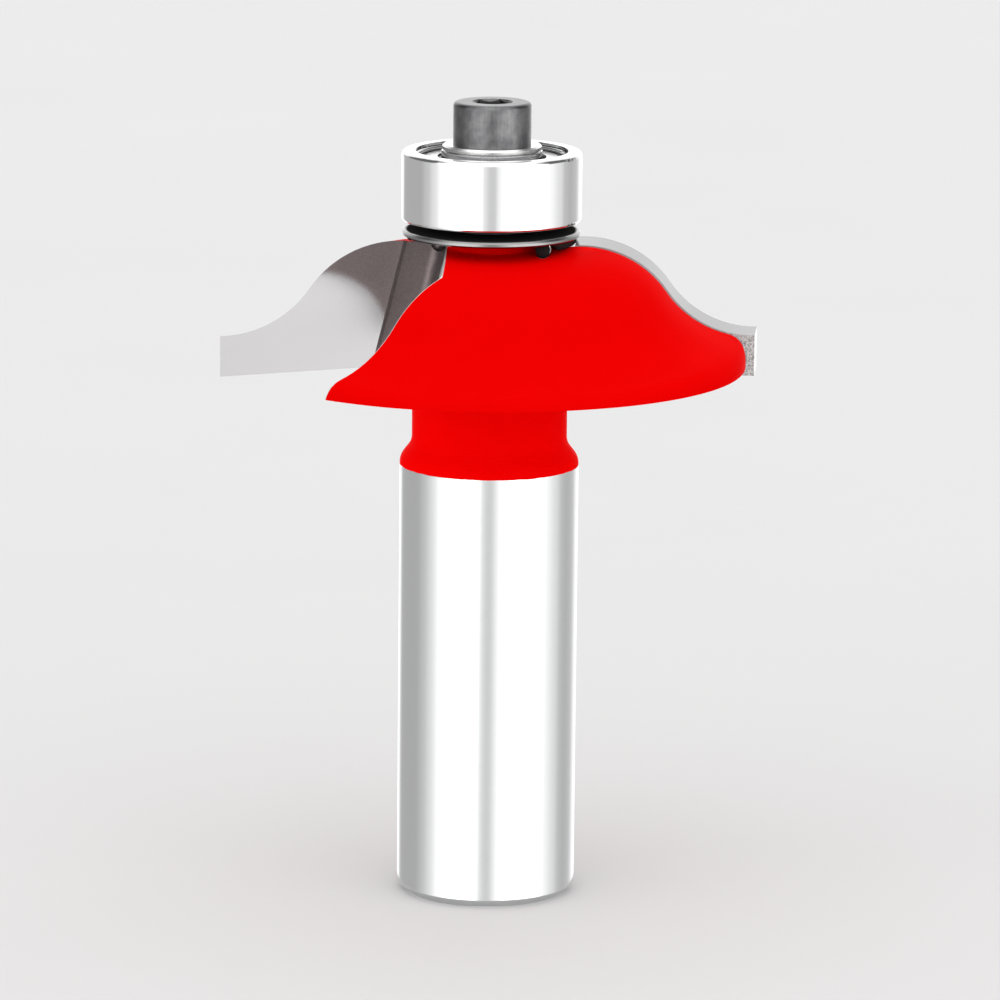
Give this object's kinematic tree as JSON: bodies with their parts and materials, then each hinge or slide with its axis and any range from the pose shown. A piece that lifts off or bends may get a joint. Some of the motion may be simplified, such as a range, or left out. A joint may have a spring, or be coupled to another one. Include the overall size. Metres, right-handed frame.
{
  "type": "router bit",
  "caption": "Roman ogee router bit: red-coated steel body with brazed carbide tips, a straight shank and a shielded ball bearing held by a cap screw.",
  "frame": {"origin": "centre of the shank's end face, which the bit stands on", "axes": "+Z along the shank towards the bearing and screw, +X along the first tip, whose rake face looks along +Y"},
  "size_m": [0.0384, 0.0354, 0.0569],
  "materials": {
    "red_coat": "smooth semi-gloss red coating on the neck and head, bare ground steel on the shank and in the gullets",
    "carbide": "finely ground tungsten carbide",
    "zinc": "bright zinc",
    "black_steel": "black oxide",
    "bearing_steel": "polished bearing steel",
    "cage_steel": "pressed bright steel",
    "shield_steel": "pressed satin stainless steel",
    "wire": "bright round wire",
    "black_screw": "black oxide, knurled head",
    "ball_steel": "polished"
  },
  "bodies": {
    "cutter": {"cutter_body": "red_coat", "carbide_tip_1": "carbide", "carbide_tip_2": "carbide", "shield_washer": "zinc", "bearing_spacer": "black_steel", "bearing_inner_ring": "bearing_steel", "screw_washer": "zinc", "cap_screw": "black_screw"},
    "guide_ring": {"bearing_outer_ring": "bearing_steel", "shield_upper": "shield_steel", "shield_lower": "shield_steel", "snap_ring_upper": "wire", "snap_ring_lower": "wire"},
    "cage": {"cage_upper": "cage_steel", "cage_lower": "cage_steel"},
    "ball_1_body": {"ball_1": "ball_steel"},
    "ball_2_body": {"ball_2": "ball_steel"},
    "ball_3_body": {"ball_3": "ball_steel"},
    "ball_4_body": {"ball_4": "ball_steel"},
    "ball_5_body": {"ball_5": "ball_steel"},
    "ball_6_body": {"ball_6": "ball_steel"},
    "ball_7_body": {"ball_7": "ball_steel"}
  },
  "joints": [
    {"name": "bearing_spin", "type": "hinge", "parent": "cutter", "child": "guide_ring", "pos_m": [0, 0, 0.05092], "axis": [0, 0, 1], "continuous": true},
    {"name": "cage_orbit", "type": "hinge", "parent": "cutter", "child": "cage", "pos_m": [0, 0, 0.05092], "axis": [0, 0, 1], "continuous": true},
    {"name": "ball_1_spin", "type": "hinge", "parent": "cage", "child": "ball_1_body", "pos_m": [0.00437, 0, 0.05092], "axis": [0, 0, 1], "continuous": true},
    {"name": "ball_2_spin", "type": "hinge", "parent": "cage", "child": "ball_2_body", "pos_m": [0.00272, 0.00341, 0.05092], "axis": [0, 0, 1], "continuous": true},
    {"name": "ball_3_spin", "type": "hinge", "parent": "cage", "child": "ball_3_body", "pos_m": [-0.00097, 0.00426, 0.05092], "axis": [0, 0, 1], "continuous": true},
    {"name": "ball_4_spin", "type": "hinge", "parent": "cage", "child": "ball_4_body", "pos_m": [-0.00393, 0.00189, 0.05092], "axis": [0, 0, 1], "continuous": true},
    {"name": "ball_5_spin", "type": "hinge", "parent": "cage", "child": "ball_5_body", "pos_m": [-0.00393, -0.00189, 0.05092], "axis": [0, 0, 1], "continuous": true},
    {"name": "ball_6_spin", "type": "hinge", "parent": "cage", "child": "ball_6_body", "pos_m": [-0.00097, -0.00426, 0.05092], "axis": [0, 0, 1], "continuous": true},
    {"name": "ball_7_spin", "type": "hinge", "parent": "cage", "child": "ball_7_body", "pos_m": [0.00272, -0.00341, 0.05092], "axis": [0, 0, 1], "continuous": true}
  ],
  "couplings": [
    {"joint": "cage_orbit", "follows": "bearing_spin", "ratio": 0.63635},
    {"joint": "ball_1_spin", "follows": "bearing_spin", "ratio": 1.6971},
    {"joint": "ball_2_spin", "follows": "bearing_spin", "ratio": 1.6971},
    {"joint": "ball_3_spin", "follows": "bearing_spin", "ratio": 1.6971},
    {"joint": "ball_4_spin", "follows": "bearing_spin", "ratio": 1.6971},
    {"joint": "ball_5_spin", "follows": "bearing_spin", "ratio": 1.6971},
    {"joint": "ball_6_spin", "follows": "bearing_spin", "ratio": 1.6971},
    {"joint": "ball_7_spin", "follows": "bearing_spin", "ratio": 1.6971}
  ]
}
